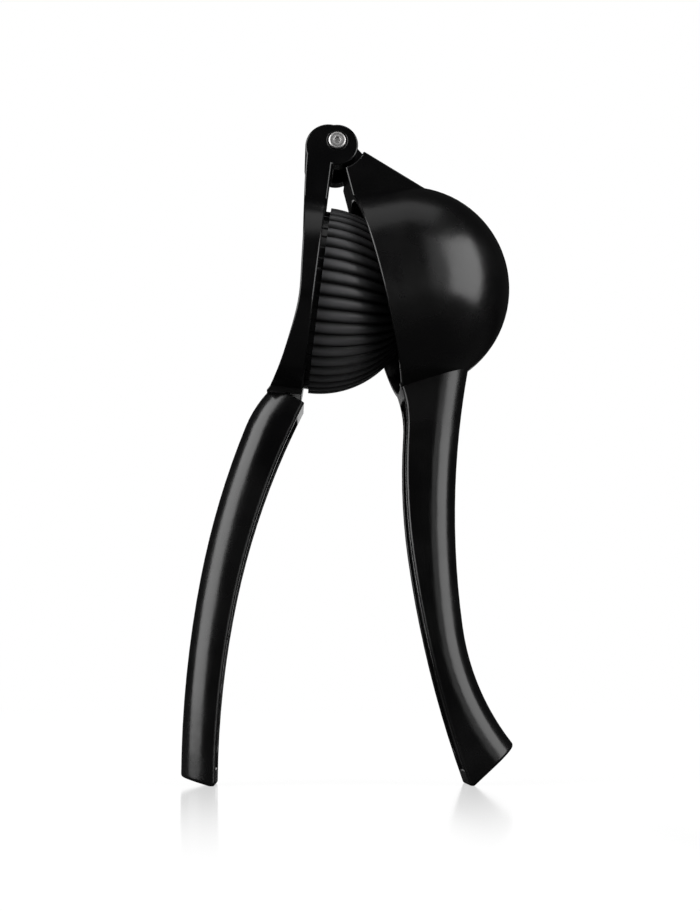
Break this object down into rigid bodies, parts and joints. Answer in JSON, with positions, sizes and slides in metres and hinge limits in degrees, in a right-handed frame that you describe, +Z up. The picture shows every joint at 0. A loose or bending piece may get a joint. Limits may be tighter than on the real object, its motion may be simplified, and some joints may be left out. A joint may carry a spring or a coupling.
{
  "type": "citrus press",
  "caption": "Hinged hand citrus press: cast levers, a ribbed pressing dome over a drained bowl, joined by a fork and tongue hinge at the top, shown open and standing on its handle ends.",
  "frame": {"origin": "on the standing surface, below the middle of the part's bounding box", "axes": "+Z up from the standing surface to the hinge, +X from the press lever to the bowl lever, +Y along the hinge pin away from the screw head"},
  "size_m": [0.1084, 0.0708, 0.2181],
  "materials": {
    "press_coating": "die casting with a satin black non-stick coating",
    "bowl_coating": "die casting with a satin black non-stick coating",
    "barrel_steel": "turned stainless steel, lightly brushed",
    "screw_steel": "turned stainless steel, lightly brushed"
  },
  "bodies": {
    "bowl_body": {"bowl_lever": "bowl_coating"},
    "press_body": {"press_lever": "press_coating", "hinge_barrel": "barrel_steel", "hinge_screw": "screw_steel"}
  },
  "joints": [
    {"name": "press_hinge", "type": "hinge", "parent": "bowl_body", "child": "press_body", "pos_m": [-0.00443, 0, 0.21246], "axis": [0, 1, 0], "range_deg": [-20.5, 95]}
  ]
}
